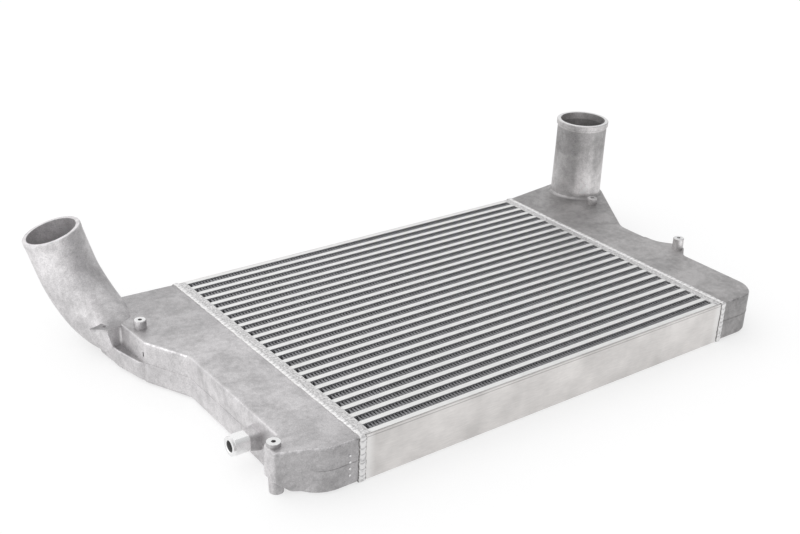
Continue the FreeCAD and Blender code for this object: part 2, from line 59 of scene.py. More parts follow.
# the core, as the source builds it
core = {
    "halfLength": 283.5 * mm,       # middle to the seam with a tank
    "halfWidth": 209.8 * mm,        # middle to the face of a side plate
    "height": 55.5 * mm,
    "finLength": 542.0 * mm,
    "finHeight": 9.4 * mm,
    "rows": 24,
    "rowPitch": 17.0 * mm,
}


def hexColour(text, share=1.0):
    # sRGB hex to the linear values that Blender wants, darkened or lightened by share
    values = [int(text[i:i + 2], 16) / 255 for i in (1, 3, 5)]
    linear = [v / 12.92 if v <= 0.04045 else ((v + 0.055) / 1.055) ** 2.4 for v in values]
    return (*[min(1.0, v * share) for v in linear], 1.0)


def perSize(size):
    # noise scale that gives features of that size
    return 1.0 / size


def addNode(tree, kind, inputs=None, **settings):
    # adds a node; an input takes a value, a socket, or a node whose first output is meant,
    # and several names together take as many values
    node = tree.nodes.new(kind)
    for name, value in settings.items():
        setattr(node, name, value)
    for names, values in (inputs or {}).items():
        for name, value in zip(names, values) if isinstance(names, tuple) else [(names, values)]:
            if isinstance(value, bpy.types.Node):
                value = value.outputs[0]
            if isinstance(value, bpy.types.NodeSocket):
                tree.links.new(value, node.inputs[name])
            else:
                node.inputs[name].default_value = value
    return node


def newMaterial(name):
    material = bpy.data.materials.new(name)
    material.use_nodes = True
    material.node_tree.nodes.clear()
    return material, material.node_tree


def finishMetal(tree, colour, roughness, **others):
    # ends a material as bare metal
    shader = addNode(tree, "ShaderNodeBsdfPrincipled", {
        "Base Color": colour, "Metallic": 1.0, "Roughness": roughness, **others})
    addNode(tree, "ShaderNodeOutputMaterial", {"Surface": shader})


def narrowed(tree, mask, *limits):
    # lets a mask through only where each of the values has climbed through its span
    for value, span in limits:
        mask = addNode(tree, "ShaderNodeMapRange", {"Value": value, fromSpan: span, "To Max": mask})
    return mask


# Camera and light

camera = {
    "place": (-0.883046, -1.037604, 0.728103),
    "right": (0.8030, -0.5946, 0.0402),
    "up": (0.2236, 0.3631, 0.9045),
    "focalPixels": 1182.387,
    "sensor": 36.0,
    "clip": (0.05, 200.0),
}
light = {
    "skyDim": "#979798",            # the side of the studio away from the lamps
    "skyBright": "#ffffff",
    "brightSide": (-0.78, 0.60, 0.10),
    "skyStrength": 1.40,
    "sunStrength": 0.15,
    "sunFrom": (-0.75, 0.25, 0.75),     # where the soft key stands
    "sunAngle": 60,
    "floorSize": 60.0,
    "floorColour": "#adadad",
    "floorLift": 0.61,              # what the floor itself adds to reach white
}


def buildCamera():
    right = Vector(camera["right"]).normalized()
    up = Vector(camera["up"])
    up = (up - right * up.dot(right)).normalized()
    back = right.cross(up)
    data = bpy.data.cameras.new("photoCamera")
    data.sensor_width = camera["sensor"]
    data.lens = camera["focalPixels"] * camera["sensor"] / photoWidth
    data.clip_start, data.clip_end = camera["clip"]
    item = bpy.data.objects.new("photoCamera", data)
    turn = Matrix((right, up, back)).transposed().to_4x4()
    item.matrix_world = Matrix.Translation(camera["place"]) @ turn
    bpy.context.scene.collection.objects.link(item)
    bpy.context.scene.camera = item


def buildLight():
    world = bpy.data.worlds.new("studio")
    bpy.context.scene.world = world
    world.use_nodes = True
    tree = world.node_tree
    tree.nodes.clear()
    place = addNode(tree, "ShaderNodeTexCoord").outputs["Generated"]
    side = Vector(light["brightSide"]).normalized()
    facing = addNode(tree, "ShaderNodeVectorMath", {0: place, 1: side}, operation="DOT_PRODUCT")
    share = addNode(tree, "ShaderNodeMapRange", {"Value": facing.outputs["Value"], "From Min": -1.0})
    sky = addNode(tree, "ShaderNodeMix", {
        "Factor": share, 6: hexColour(light["skyDim"]), 7: hexColour(light["skyBright"])}, data_type="RGBA")
    glow = addNode(tree, "ShaderNodeBackground", {"Color": sky.outputs[2], "Strength": light["skyStrength"]})
    addNode(tree, "ShaderNodeOutputWorld", {"Surface": glow})

    data = bpy.data.lights.new("key", "SUN")
    data.energy = light["sunStrength"]
    data.angle = math.radians(light["sunAngle"])
    item = bpy.data.objects.new("key", data)
    item.rotation_euler = Vector(light["sunFrom"]).to_track_quat("Z", "Y").to_euler()
    bpy.context.scene.collection.objects.link(item)


def paintedFloor():
    # matt white floor paper: even, no gloss, holds a soft shadow
    material, tree = newMaterial("floorPaper")
    rays = addNode(tree, "ShaderNodeLightPath").outputs
    seen = rays["Is Camera Ray"]
    for kind in ("Is Glossy Ray", "Is Transmission Ray"):
        seen = addNode(tree, "ShaderNodeMath", {0: seen, 1: rays[kind]}, operation="ADD", use_clamp=True)
    lift = addNode(tree, "ShaderNodeMath", {0: seen, 1: light["floorLift"]}, operation="MULTIPLY")
    paper = addNode(tree, "ShaderNodeBsdfDiffuse", {"Color": hexColour(light["floorColour"])})
    glow = addNode(tree, "ShaderNodeEmission", {"Strength": lift})
    both = addNode(tree, "ShaderNodeAddShader", {0: paper, 1: glow})
    addNode(tree, "ShaderNodeOutputMaterial", {"Surface": both})
    return material


def buildFloor(height):
    half = light["floorSize"] / 2
    mesh = bpy.data.meshes.new("floor")
    mesh.from_pydata([(-half, -half, height), (half, -half, height), (half, half, height), (-half, half, height)],
                     [], [(0, 1, 2, 3)])
    mesh.materials.append(paintedFloor())
    item = bpy.data.objects.new("floor", mesh)
    bpy.context.scene.collection.objects.link(item)


# Tanks

cast = {
    "mottleSize": 34.0 * mm,
    "blotchSize": 7.0 * mm,
    "blotchShare": 0.36,            # of the blotches in the clouds of tone
    "cloudSpan": (0.38, 0.60),      # of the noise, from the darkest cloud to the lightest
    "grainSize": 1.5 * mm,          # drawn coarser than the sand so that it shows
    "grainTone": (0.86, 1.10),
    "grainBump": {"Strength": 0.45, "Distance": 0.4 * mm},
    "swellBump": {"Strength": 0.35, "Distance": 2.5 * mm},
    "roughness": (0.56, 0.44),      # from blotch to blotch
    "tank": (core["height"] + 4.0 * mm, core["height"] - 3.0 * mm),         # heights from the pipe down to the tank
    "pipe": (core["height"] + 3.0 * mm, core["height"] + 10.0 * mm),        # and from the tank up to the pipe
    "facesUp": (0.7, 0.95),         # cosines from which a face starts to look up, and to which it fully does
    "facesAhead": (0.4, 0.75),
    "facesOut": (0.5, 0.8),
    "facesShadedSide": (0.45, 0.95),    # the same for the side of the pipe with painted shade
    "sloped": (0.1, 0.5),           # and for a rounded edge or a fillet, against an upright wall
    "edge": (core["height"] - 1.65 * mm, 1.55 * mm),        # middle and half height of the rounded edges
    "fillet": (core["height"] + 3.2 * mm, 2.8 * mm),        # and of the fillets that stand on the top
    "patches": (0.35, 0.6),         # of the noise, where an edge is rubbed and given its painted highlight
    "wearAndHighlight": 0.92,                   # rounded edges along the outer side
    "wearAndHighlightFront": 1.4,               # and along the front and the ridge by the pocket, rubbed and given a painted highlight
    "wearAndHighlightTurn": (0.15, 0.3),        # how far an edge faces ahead, from the one to the other
    "ridge": (93.0 * mm, 57.0 * mm),        # middle and half length of that ridge along Y
    "frontPart": -100.0 * mm,       # where the front part starts, along Y
    "front": 0.78,                  # painted shade on the front faces
    "ahead": (-130.0 * mm, -185.0 * mm),    # where the left tank's top darkens towards the front
    "rear": (50.0 * mm, 100.0 * mm),        # where a tank's top darkens towards the rear, along Y
    "sideShade": 0.74,              # painted shade: how dark a pipe is on its side that faces the core
    "behind": 35.0 * mm,            # over which the pipe's tone starts behind the tank
    "mouth": (90.0 * mm, 150.0 * mm),       # heights over which the stripe of painted reflection fades
    "mouthShare": 0.3,              # and what is left of it at the mouth
    "collarEdge": 1.0 * mm,
    "inPipe": -20.0 * mm,           # the pipe's inside faces its axis from further off than this
    "boreDepth": (-60.0 * mm, -45.0 * mm),  # from its mouth, below which it is as dark as the tank's inside
    "level": 0.9995,                # how flat a machined face lies
    "dots": 0.35 * mm,              # how far the dots stand proud of the front face
    "machined": "#e9e9e9",
    "machinedRoughness": 0.32,
}
leftTank = {
    "colour": "#cac8c9",
    "dark": 0.83,                           # the dark mottles against the light ones
    "light": 1.13,
    "machinedAbove": 59.0 * mm,             # level faces above this height are cut by a tool
    "shadedSide": (0.93, -0.25, 0.25),          # the way the side of its pipe with painted shade faces
    "reflectedStripe": (-0.50, -0.85, -0.10),        # and the stripe of painted reflection
    "reflectedStripeFrom": 0.60,                     # where that stripe starts, 1 being its middle
    "reflectedStripeLight": 1.13,
    "pipeTone": (0.95, 1.28),               # of the pipe against the tank, at its foot and at its mouth
    "pipeRise": (58.0 * mm, 105.0 * mm),    # from this height to that one
    "pipeBehind": 150.0 * mm,               # along Y, where the pipe starts to run behind the tank
    "collarAxis": (-0.270046, 0.102142, 0.957414),
    "collarFrom": 260.5 * mm,               # along that axis
    "collarLight": 0.96,
    "filletShade": 1.0,                            # painted shade in the fillets at the foot of the pipe and the boss
    "rearTone": 0.72,                       # how dark its top gets at the rear
    "frontTone": 0.84,                      # and at the front
    "outerWall": 1.14,                      # painted light on the upright wall on its outer side
    "paintedBoreLight": 1.16,                      # painted light inside the pipe's mouth
    "boreAt": (-416.7 * mm, 268.0 * mm, 133.6 * mm),
}
rightTank = {
    "colour": "#b9b7b7",
    "dark": 0.80,
    "light": 1.12,
    "machinedAbove": 64.0 * mm,
    "shadedSide": (-0.98, 0.10, 0.15),
    "reflectedStripe": (-0.50, -0.866, 0.0),
    "reflectedStripeFrom": 0.90,
    "reflectedStripeLight": 1.65,
    "pipeTone": (1.52, 0.92),
    "pipeRise": (58.0 * mm, 135.0 * mm),
    "pipeBehind": 900.0 * mm,               # never: this one stands on the tank
    "collarAxis": (0.0, 0.0, 1.0),
    "collarFrom": 162.4 * mm,
    "collarLight": 1.45,
    "filletShade": 0.78,
    "rearTone": 0.74,
    "frontTone": 1.0,
    "outerWall": 1.0,
    "paintedBoreLight": 1.20,
    "boreAt": (398.7 * mm, 182.8 * mm, 169.0 * mm),
}


def tankTones(tree, at, facing, blotch, tank):
    # parts of a tank that are darker or lighter than the rest, some of them painted light and shade: masks and how
    # light each part is
    low = narrowed(tree, 1.0, (at["Z"], cast["tank"]))
    inFront = addNode(tree, "ShaderNodeMath", {0: at["Y"], 1: cast["frontPart"]}, operation="LESS_THAN")
    lowFront = narrowed(tree, inFront, (at["Z"], cast["tank"]))
    edge = addNode(tree, "ShaderNodeMath", {0: at["Z"], (1, 2): cast["edge"]}, operation="COMPARE")
    onRidge = addNode(tree, "ShaderNodeMath", {0: at["Y"], (1, 2): cast["ridge"]}, operation="COMPARE")
    # rubbed edges, with a painted highlight where they face ahead at the front and along the ridge
    wearAndHighlightPart = addNode(tree, "ShaderNodeMath", {0: inFront, 1: onRidge}, operation="MAXIMUM")
    frontEdge = addNode(tree, "ShaderNodeMath", {0: facing["ahead"], 1: wearAndHighlightPart}, operation="MULTIPLY")
    wearAndHighlight = addNode(tree, "ShaderNodeMapRange", {
        "Value": frontEdge, fromSpan: cast["wearAndHighlightTurn"], toSpan: (cast["wearAndHighlight"], cast["wearAndHighlightFront"])})
    fillet = addNode(tree, "ShaderNodeMath", {0: at["Z"], (1, 2): cast["fillet"]}, operation="COMPARE")
    return [
        # painted shade on the front faces
        (narrowed(tree, lowFront, (facing["ahead"], cast["facesAhead"])), cast["front"]),
        (narrowed(tree, low, (at["Y"], cast["rear"]), (facing["up"], cast["facesUp"])), tank["rearTone"]),
        (narrowed(tree, low, (at["Y"], cast["ahead"]), (facing["up"], cast["facesUp"])), tank["frontTone"]),
        # painted light on the outer wall
        (narrowed(tree, low, (facing["outward"], cast["facesOut"])), tank["outerWall"]),
        (narrowed(tree, edge, (facing["up"], cast["sloped"]), (blotch, cast["patches"])), wearAndHighlight),
        # painted shade in the fillets
        (narrowed(tree, fillet, (facing["up"], cast["sloped"])), tank["filletShade"]),
    ]


def pipeTones(tree, place, normal, at, facing, tank):
    # the same for its pipe: it changes from foot to mouth, has a side with painted shade, a stripe of painted
    # reflection, a hose collar and painted light inside its mouth
    onPipe = narrowed(tree, 1.0, (at["Z"], cast["pipe"]))
    behindTank = narrowed(tree, 1.0, (at["Y"], (tank["pipeBehind"], tank["pipeBehind"] + cast["behind"])))
    wholePipe = addNode(tree, "ShaderNodeMath", {0: behindTank, 1: onPipe}, operation="MAXIMUM")
    climb = addNode(tree, "ShaderNodeMapRange", {
        "Value": at["Z"], fromSpan: tank["pipeRise"], toSpan: tank["pipeTone"]})
    fading = addNode(tree, "ShaderNodeMapRange", {
        "Value": at["Z"], fromSpan: cast["mouth"], toSpan: (1.0, cast["mouthShare"])})
    # painted reflection: a light stripe down the pipe
    paintedReflection = addNode(tree, "ShaderNodeMapRange", {
        "Value": facing["reflectedStripe"], fromSpan: (tank["reflectedStripeFrom"], 1.0),
        "To Max": narrowed(tree, fading, (at["Z"], cast["pipe"]))}, interpolation_type="SMOOTHSTEP")
    upAxis = addNode(tree, "ShaderNodeVectorMath", {0: place, 1: tank["collarAxis"]}, operation="DOT_PRODUCT")
    collar = (tank["collarFrom"], tank["collarFrom"] + cast["collarEdge"])
    spoke = addNode(tree, "ShaderNodeVectorMath", {0: place, 1: tank["boreAt"]}, operation="SUBTRACT")
    depth = addNode(tree, "ShaderNodeVectorMath", {0: spoke, 1: tank["collarAxis"]}, operation="DOT_PRODUCT")
    inward = addNode(tree, "ShaderNodeVectorMath", {0: spoke, 1: normal}, operation="DOT_PRODUCT")
    hollow = addNode(tree, "ShaderNodeMath", {0: inward.outputs["Value"], 1: cast["inPipe"]}, operation="LESS_THAN")
    return [
        (wholePipe, climb),
        # painted shade on the pipe's side that faces the core
        (narrowed(tree, onPipe, (facing["shadedSide"], cast["facesShadedSide"])), cast["sideShade"]),
        (paintedReflection, tank["reflectedStripeLight"]),
        (narrowed(tree, 1.0, (upAxis.outputs["Value"], collar)), tank["collarLight"]),
        # painted light inside the pipe's mouth
        (narrowed(tree, hollow, (depth.outputs["Value"], cast["boreDepth"])), tank["paintedBoreLight"]),
    ]


def castAluminium(name, tank):
    # sand-cast aluminium, shot-blasted: grey and matt, cloudy over a few centimetres, with a fine grain;
    # the boss tops and the straight pipe's rim are turned bright, the rounded edges rubbed and given a painted
    # highlight, and some faces carry painted light and shade
    material, tree = newMaterial(name)
    place = addNode(tree, "ShaderNodeTexCoord").outputs["Object"]
    mottle = addNode(tree, "ShaderNodeTexNoise", {
        "Vector": place, "Scale": perSize(cast["mottleSize"]), "Detail": 3.0, "Roughness": 0.6, "Distortion": 0.6})
    blotch = addNode(tree, "ShaderNodeTexNoise", {
        "Vector": place, "Scale": perSize(cast["blotchSize"]), "Detail": 4.0, "Roughness": 0.65})
    grain = addNode(tree, "ShaderNodeTexNoise", {
        "Vector": place, "Scale": perSize(cast["grainSize"]), "Detail": 2.0})
    cloud = addNode(tree, "ShaderNodeMix", {"Factor": cast["blotchShare"], 2: mottle, 3: blotch})
    tone = addNode(tree, "ShaderNodeMix", {
        "Factor": narrowed(tree, 1.0, (cloud, cast["cloudSpan"])), 6: hexColour(tank["colour"], tank["dark"]),
        7: hexColour(tank["colour"], tank["light"])}, data_type="RGBA")

    at = addNode(tree, "ShaderNodeSeparateXYZ", {"Vector": place}).outputs
    surface = addNode(tree, "ShaderNodeNewGeometry").outputs
    ways = {"up": (0, 0, 1), "ahead": (0, -1, 0), "outward": (-1, 0, 0),
            "shadedSide": tank["shadedSide"], "reflectedStripe": tank["reflectedStripe"]}
    facing = {}         # how far the surface turns each of those ways
    for label, way in ways.items():
        normal = surface["True Normal" if label == "up" else "Normal"]
        facing[label] = addNode(tree, "ShaderNodeVectorMath", {0: normal, 1: way},
                                operation="DOT_PRODUCT").outputs["Value"]

    shade = addNode(tree, "ShaderNodeMapRange", {"Value": grain, fromSpan: noiseSpan, toSpan: cast["grainTone"]})
    for mask, lightness in [*tankTones(tree, at, facing, blotch, tank),
                            *pipeTones(tree, place, surface["Normal"], at, facing, tank)]:
        part = addNode(tree, "ShaderNodeMapRange", {"Value": mask, toSpan: (1.0, lightness)})
        shade = addNode(tree, "ShaderNodeMath", {0: shade, 1: part}, operation="MULTIPLY")
    aged = addNode(tree, "ShaderNodeVectorMath", {0: tone.outputs[2], "Scale": shade}, operation="SCALE")

    # faces that a tool has cut: boss and post tops, the level rim, and the dots on the front face
    flat = addNode(tree, "ShaderNodeMath", {0: facing["up"], 1: cast["level"]}, operation="GREATER_THAN")
    high = addNode(tree, "ShaderNodeMath", {0: at["Z"], 1: tank["machinedAbove"]}, operation="GREATER_THAN")
    topped = addNode(tree, "ShaderNodeMath", {0: flat, 1: high}, operation="MULTIPLY")
    dots = addNode(tree, "ShaderNodeMath", {0: at["Y"], 1: -core["halfWidth"] - cast["dots"]},
                   operation="LESS_THAN")
    cut = addNode(tree, "ShaderNodeMath", {0: topped, 1: dots}, operation="MAXIMUM")
    skin = addNode(tree, "ShaderNodeMix", {"Factor": cut, 6: aged, 7: hexColour(cast["machined"])},
                   data_type="RGBA")
    sheen = addNode(tree, "ShaderNodeMapRange", {"Value": blotch, fromSpan: noiseSpan, toSpan: cast["roughness"]})
    matt = addNode(tree, "ShaderNodeMix", {"Factor": cut, 2: sheen, 3: cast["machinedRoughness"]})
    bump = addNode(tree, "ShaderNodeBump", {"Height": grain, **cast["grainBump"]})
    swell = addNode(tree, "ShaderNodeBump", {"Height": cloud, "Normal": bump, **cast["swellBump"]})
    finishMetal(tree, skin.outputs[2], matt, Normal=swell)
    return material


def dress(name, material):
    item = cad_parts[name]
    item.data.materials.clear()
    item.data.materials.append(material)


# Bars, sheets and side plates of the brazed block

block = {
    "bar": "#f1f1f0",
    "barFine": 2.2 * mm,           # size of the scuffs
    "barCloud": 18.0 * mm,
    "barTone": (0.93, 1.0),
    "barRoughness": 0.5,
    "barBump": {"Strength": 0.3, "Distance": 0.5 * mm},
    "header": "#d8d7d7",           # the rougher ends, dulled by flux and by the weld's heat
    "headerStart": 271.0 * mm,     # from the middle of the core
    "headerFade": 3.0 * mm,        # how gradual and how ragged that start is
    "scuffTone": (0.62, 1.3),
    "sheet": "#8e8e90",            # sheet edges lie a little deeper and carry dark braze
    "sheetStreak": 3.0 * mm,
    "sheetTone": (0.7, 1.3),
    "sheetFaceLit": "#c6c6c8",        # painted light: the sheets' broad faces, seen behind the fins, drawn lighter than their shade
    "sheetEnd": 0.9,               # of the header's tone, at the sheets' ends
    "sheetEndFade": 2.0 * mm,
    "sheetRoughness": 0.55,
    "plate": "#e1dedc",
    "plateTone": (0.82, 1.05),
    "plateLines": 1.6 * mm,
    "lineStretch": (0.12, 1.0, 1.0),    # draws those lines out along X
    "lineShare": 0.25,
    "plateCloud": 45.0 * mm,
    "plateSpan": (0.35, 0.62),     # of the noise, from dark to light
    "plateRoughness": 0.42,
    "plateBump": {"Strength": 0.2, "Distance": 0.6 * mm},
    "plateBand": "#f0efee",        # wiped clean beside the welds
    "bandStart": 267.0 * mm,
    "bandFade": 8.0 * mm,
    "bandShare": 0.7,
    "lip": 2.6 * mm,               # below the plate's top edge, the line where it was folded
    "lipWidth": (0.3 * mm, 0.9 * mm),
    "lipTone": 0.68,
}


def fromMiddle(tree, place):
    # how far a place on the core is from its middle, along X
    at = addNode(tree, "ShaderNodeSeparateXYZ", {"Vector": place}).outputs
    return addNode(tree, "ShaderNodeMath", {0: at["X"]}, operation="ABSOLUTE")


def brazedBar():
    # extruded aluminium bars after brazing: near white and satin, with rougher grey ends
    material, tree = newMaterial("brazedBar")
    place = addNode(tree, "ShaderNodeTexCoord").outputs["Object"]
    fine = addNode(tree, "ShaderNodeTexNoise", {"Vector": place, "Scale": perSize(block["barFine"]), "Detail": 3.0})
    ragged = addNode(tree, "ShaderNodeMath", {0: fine, 1: block["headerFade"], 2: fromMiddle(tree, place)},
                     operation="MULTIPLY_ADD")
    end = narrowed(tree, 1.0, (ragged, (block["headerStart"], block["headerStart"] + block["headerFade"])))
    cloud = addNode(tree, "ShaderNodeTexNoise", {
        "Vector": place, "Scale": perSize(block["barCloud"]), "Detail": 4.0})
    halves = []         # the plain bar and its rough end
    for colour, noise, span in (("bar", cloud, "barTone"), ("header", fine, "scuffTone")):
        tone = addNode(tree, "ShaderNodeMapRange", {"Value": noise, fromSpan: noiseSpan, toSpan: block[span]})
        halves.append(addNode(tree, "ShaderNodeVectorMath", {0: hexColour(block[colour])[:3], "Scale": tone},
                              operation="SCALE"))
    skin = addNode(tree, "ShaderNodeMix", {"Factor": end, (6, 7): halves}, data_type="RGBA")
    bump = addNode(tree, "ShaderNodeBump", {"Height": fine, **block["barBump"]})
    finishMetal(tree, skin.outputs[2], block["barRoughness"], Normal=bump)
    return material


def brazedSheet():
    # the clad sheets' edges between bars and fins: darker, streaked with dried braze; their broad faces carry painted
    # light
    material, tree = newMaterial("brazedSheet")
    place = addNode(tree, "ShaderNodeTexCoord").outputs["Object"]
    fine = addNode(tree, "ShaderNodeTexNoise", {
        "Vector": place, "Scale": perSize(block["sheetStreak"]), "Detail": 3.0})
    tone = addNode(tree, "ShaderNodeMix", {
        "Factor": fine, (6, 7): [hexColour(block["sheet"], share) for share in block["sheetTone"]]},
        data_type="RGBA")
    end = narrowed(tree, 1.0, (
        fromMiddle(tree, place), (block["headerStart"], block["headerStart"] + block["sheetEndFade"])))
    surface = addNode(tree, "ShaderNodeNewGeometry").outputs
    turn = addNode(tree, "ShaderNodeSeparateXYZ", {"Vector": surface["True Normal"]}).outputs
    broad = addNode(tree, "ShaderNodeMath", {0: turn["Y"]}, operation="ABSOLUTE")
    # painted light on the sheets' broad faces
    faced = addNode(tree, "ShaderNodeMix", {
        "Factor": broad, 6: tone.outputs[2], 7: hexColour(block["sheetFaceLit"])}, data_type="RGBA")
    skin = addNode(tree, "ShaderNodeMix", {
        "Factor": end, 6: faced.outputs[2], 7: hexColour(block["header"], block["sheetEnd"])}, data_type="RGBA")
    finishMetal(tree, skin.outputs[2], block["sheetRoughness"])
    return material


def rolledPlate():
    # mill-finish rolled sheet: satin, softly blotched, faint lines along its length, wiped bright by the welds
    material, tree = newMaterial("rolledPlate")
    place = addNode(tree, "ShaderNodeTexCoord").outputs["Object"]
    stretched = addNode(tree, "ShaderNodeMapping", {"Vector": place, "Scale": block["lineStretch"]})
    lines = addNode(tree, "ShaderNodeTexNoise", {
        "Vector": stretched, "Scale": perSize(block["plateLines"]), "Detail": 3.0})
    cloud = addNode(tree, "ShaderNodeTexNoise", {
        "Vector": place, "Scale": perSize(block["plateCloud"]), "Detail": 4.0})
    mixed = addNode(tree, "ShaderNodeMix", {"Factor": block["lineShare"], 2: cloud, 3: lines})
    tone = addNode(tree, "ShaderNodeMix", {
        "Factor": narrowed(tree, 1.0, (mixed, block["plateSpan"])),
        (6, 7): [hexColour(block["plate"], share) for share in block["plateTone"]]}, data_type="RGBA")
    end = narrowed(tree, block["bandShare"], (
        fromMiddle(tree, place), (block["bandStart"], block["bandStart"] + block["bandFade"])))
    wiped = addNode(tree, "ShaderNodeMix", {"Factor": end, 6: tone.outputs[2], 7: hexColour(block["plateBand"])},
                    data_type="RGBA")
    height = addNode(tree, "ShaderNodeSeparateXYZ", {"Vector": place}).outputs["Z"]
    drop = addNode(tree, "ShaderNodeMath", {0: height, 1: core["height"] - block["lip"]}, operation="SUBTRACT")
    near = addNode(tree, "ShaderNodeMath", {0: drop}, operation="ABSOLUTE")
    line = addNode(tree, "ShaderNodeMapRange", {
        "Value": near, fromSpan: block["lipWidth"], toSpan: (block["lipTone"], 1.0)})
    skin = addNode(tree, "ShaderNodeVectorMath", {0: wiped.outputs[2], "Scale": line}, operation="SCALE")
    bump = addNode(tree, "ShaderNodeBump", {"Height": mixed, **block["plateBump"]})
    finishMetal(tree, skin, block["plateRoughness"], Normal=bump)
    return material


# Threaded port

port = {
    "colour": "#fafafa",
    "markDark": 0.88,         # how dark it is between the marks of the turning tool
    "markStep": 0.888 * mm,   # from one mark to the next, drawn coarser than the real feed
    "markBump": {"Strength": 0.15, "Distance": 0.1 * mm},
    "roughness": 0.22,
    "axis": (-117.0 * mm, 29.5 * mm),       # where it runs, in Y and Z
    "bore": 6.6 * mm,         # within this distance of the axis the surface is threaded and scatters more
    "boreRoughness": 0.6,
    "boreShare": 0.42,        # how much light its thread gives back
}
waveTurn = 20.0               # a Wave texture turns by so many radians over one unit of its scale


def turnedAluminium():
    # turned and milled bar: bright, with fine rings round its axis
    material, tree = newMaterial("turnedAluminium")
    place = addNode(tree, "ShaderNodeTexCoord").outputs["Object"]
    rings = addNode(tree, "ShaderNodeTexWave", {
        "Vector": place, "Scale": perSize(port["markStep"]) * 2 * math.pi / waveTurn,
        "Distortion": 0.4, "Detail": 1.0}, bands_direction="X").outputs["Fac"]
    tone = addNode(tree, "ShaderNodeMix", {
        "Factor": rings, 6: hexColour(port["colour"], port["markDark"]), 7: hexColour(port["colour"])},
        data_type="RGBA")
    bump = addNode(tree, "ShaderNodeBump", {"Height": rings, **port["markBump"]})
    fromAxis = addNode(tree, "ShaderNodeVectorMath", {0: place, 1: (0.0, *port["axis"])}, operation="SUBTRACT")
    flat = addNode(tree, "ShaderNodeVectorMath", {0: fromAxis, 1: (0.0, 1.0, 1.0)}, operation="MULTIPLY")
    reach = addNode(tree, "ShaderNodeVectorMath", {0: flat}, operation="LENGTH")
    threaded = addNode(tree, "ShaderNodeMath", {0: reach.outputs["Value"], 1: port["bore"]}, operation="LESS_THAN")
    gloss = addNode(tree, "ShaderNodeMix", {"Factor": threaded, 2: port["roughness"], 3: port["boreRoughness"]})
    dim = addNode(tree, "ShaderNodeMapRange", {"Value": threaded, toSpan: (1.0, port["boreShare"])})
    skin = addNode(tree, "ShaderNodeVectorMath", {0: tone.outputs[2], "Scale": dim}, operation="SCALE")
    finishMetal(tree, skin, gloss, Normal=bump)
    return material


def newTree(name, sockets):
    # geometry tree with named inputs; gives back the tree, its inputs and their identifiers
    tree = bpy.data.node_groups.new(name, "GeometryNodeTree")
    tree.interface.new_socket("Geometry", in_out="OUTPUT", socket_type="NodeSocketGeometry")
    names = {}
    for label, kind in sockets.items():
        names[label] = tree.interface.new_socket(label, in_out="INPUT", socket_type="NodeSocket" + kind).identifier
    return tree, addNode(tree, "NodeGroupInput").outputs, names


def bakedObject(name, tree, names, values):
    # runs a tree on an empty mesh and keeps the result as a plain mesh
    host = bpy.data.objects.new(name + "Host", bpy.data.meshes.new(name + "Host"))
    bpy.context.scene.collection.objects.link(host)
    modifier = host.modifiers.new("build", "NODES")
    modifier.node_group = tree
    for label, value in values.items():
        modifier[names[label]] = value
    graph = bpy.context.evaluated_depsgraph_get()
    graph.update()
    mesh = bpy.data.meshes.new_from_object(host.evaluated_get(graph))
    mesh.name = name
    bpy.data.objects.remove(host)
    item = bpy.data.objects.new(name, mesh)
    bpy.context.scene.collection.objects.link(item)
    return item


# Air fins

fins = {
    "wave": 4.27 * mm,         # one fold, crest to crest
    "crest": 0.7 * mm,         # flat land where the foil is brazed to the sheet
    "foil": 0.4 * mm,          # drawn thicker than the real 0.1 so that its edge shows
    "recess": 0.8 * mm,        # below the bars, top and bottom
    "endGap": 3.0 * mm,        # from the last fold to the closing bar
    "wander": 0.5 * mm,        # unevenness of the folds along a row
    "wanderSize": 22.0 * mm,
    "rowsApart": 7.0,          # how much more the wander changes from row to row
    "seed": 3.0,
    # painted shade and light: the foil's top edge drawn darker, its deeper part lighter than its shade
    "edge": "#8e8e90",
    "inside": "#97979a",
    "land": "#c6c6c8",         # painted light, like the sheet behind it
    "landTurn": (0.6, 0.8),    # how far a face turns across the row, from a wall to a land
    "walls": (1.26, 0.78),     # every second wall faces the light, the others turn away from it
    "wallTurn": (-0.1, 0.1),
    "edgeDepth": 1.2 * mm,     # how far the edge's tone reaches down the foil
    "dustSize": 9.0 * mm,
    "dustTone": (0.75, 1.1),
    "roughness": 0.5,
}


